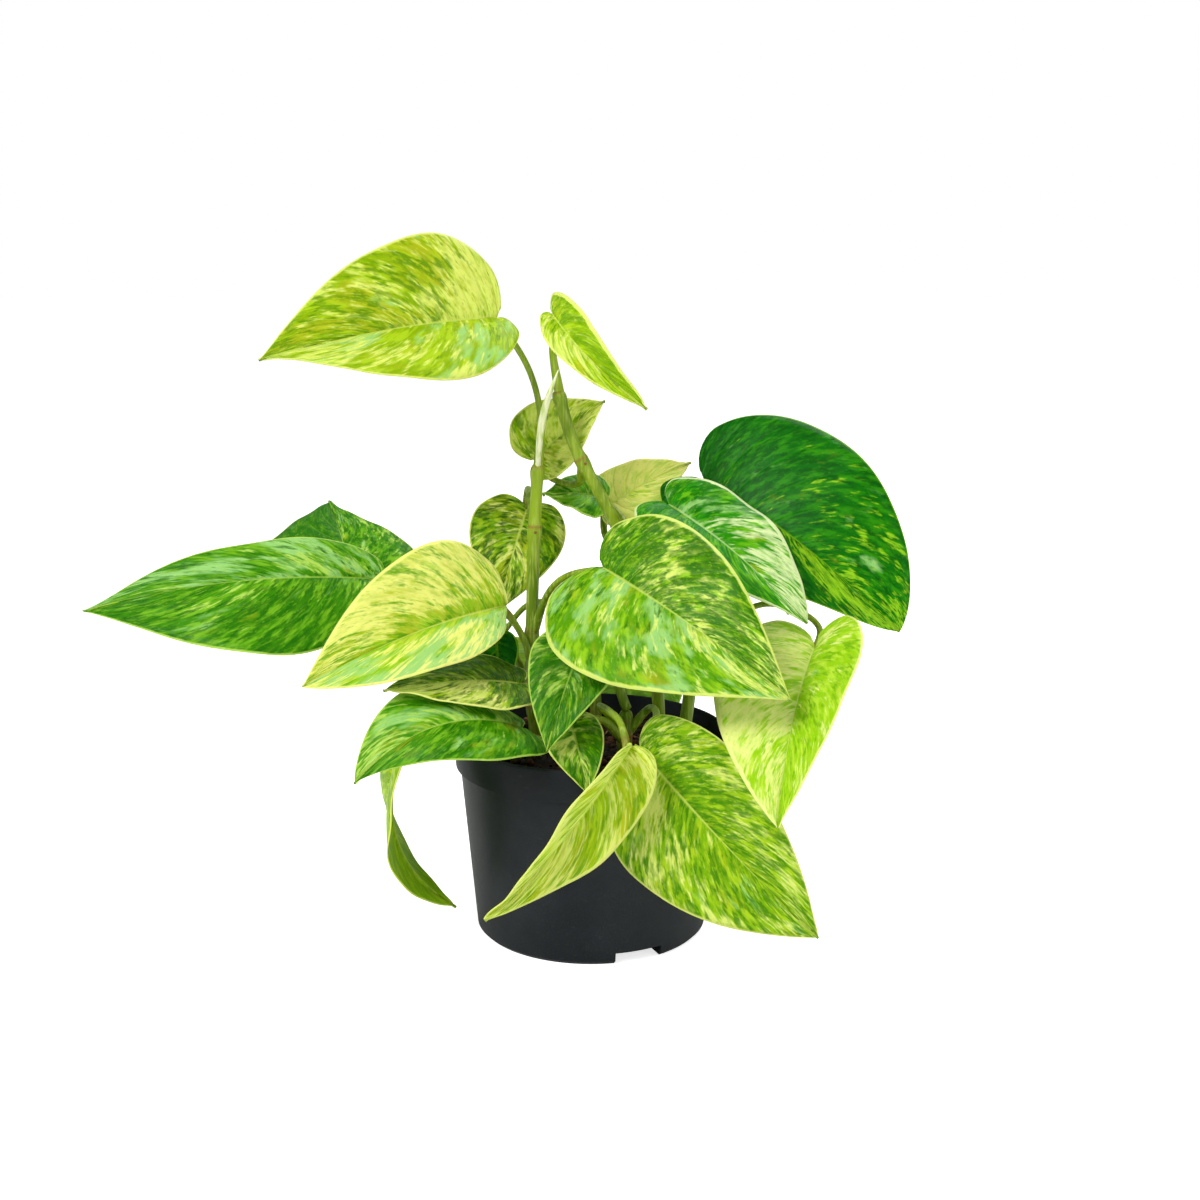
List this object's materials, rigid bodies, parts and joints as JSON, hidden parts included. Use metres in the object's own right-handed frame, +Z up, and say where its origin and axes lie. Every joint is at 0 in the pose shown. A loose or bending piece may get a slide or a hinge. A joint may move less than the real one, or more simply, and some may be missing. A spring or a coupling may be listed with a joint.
{
  "type": "potted pothos plant",
  "caption": "Climbing houseplant with heart-shaped leaves marbled green and cream on upright vines, standing in soil in a plain round plastic nursery pot with a rim band.",
  "frame": {"origin": "centre of the pot's underside, on the surface the plant stands on", "axes": "+Z up along the pot's axis; -Y towards the front, the side that the picture shows; +X to the right of the front"},
  "size_m": [0.3466, 0.2196, 0.2988],
  "materials": {
    "pot": "satin",
    "soil": "matte",
    "vine": "satin",
    "shoot": "satin",
    "leaf_marbled": "satin",
    "leaf_pale": "satin",
    "leaf_green": "satin"
  },
  "bodies": {
    "root": {"pot": "pot", "soil": "soil", "shoot": "shoot", "vine_tall": "vine", "leaf_crown_left": "leaf_marbled", "leaf_centre_front": "leaf_marbled", "leaf_centre_behind": "leaf_marbled", "leaf_centre_shaded": "leaf_green", "leaf_mid_left": "leaf_pale", "leaf_rim_left": "leaf_green", "leaf_rim_mottled": "leaf_pale", "vine_leaning": "vine", "leaf_crown_right": "leaf_marbled", "leaf_crown_small": "leaf_green", "leaf_between_vines": "leaf_green", "leaf_pale_behind": "leaf_pale", "vine_right": "vine", "leaf_right_inner": "leaf_marbled", "leaf_right_drooping": "leaf_marbled", "vine_front": "vine", "leaf_front_right": "leaf_marbled", "leaf_front_low": "leaf_marbled", "leaf_centre_hanging": "leaf_marbled", "leaf_rim_front": "leaf_pale", "vine_left": "vine", "leaf_far_left": "leaf_green", "leaf_left_hanging": "leaf_green", "leaf_left_behind": "leaf_green", "vine_back": "vine", "leaf_back_right": "leaf_marbled", "leaf_back_middle": "leaf_marbled", "leaf_back_left": "leaf_marbled", "leaf_back_hanging": "leaf_marbled", "leaf_back_low": "leaf_green", "leaf_right_dark": "leaf_green"}
  },
  "joints": []
}
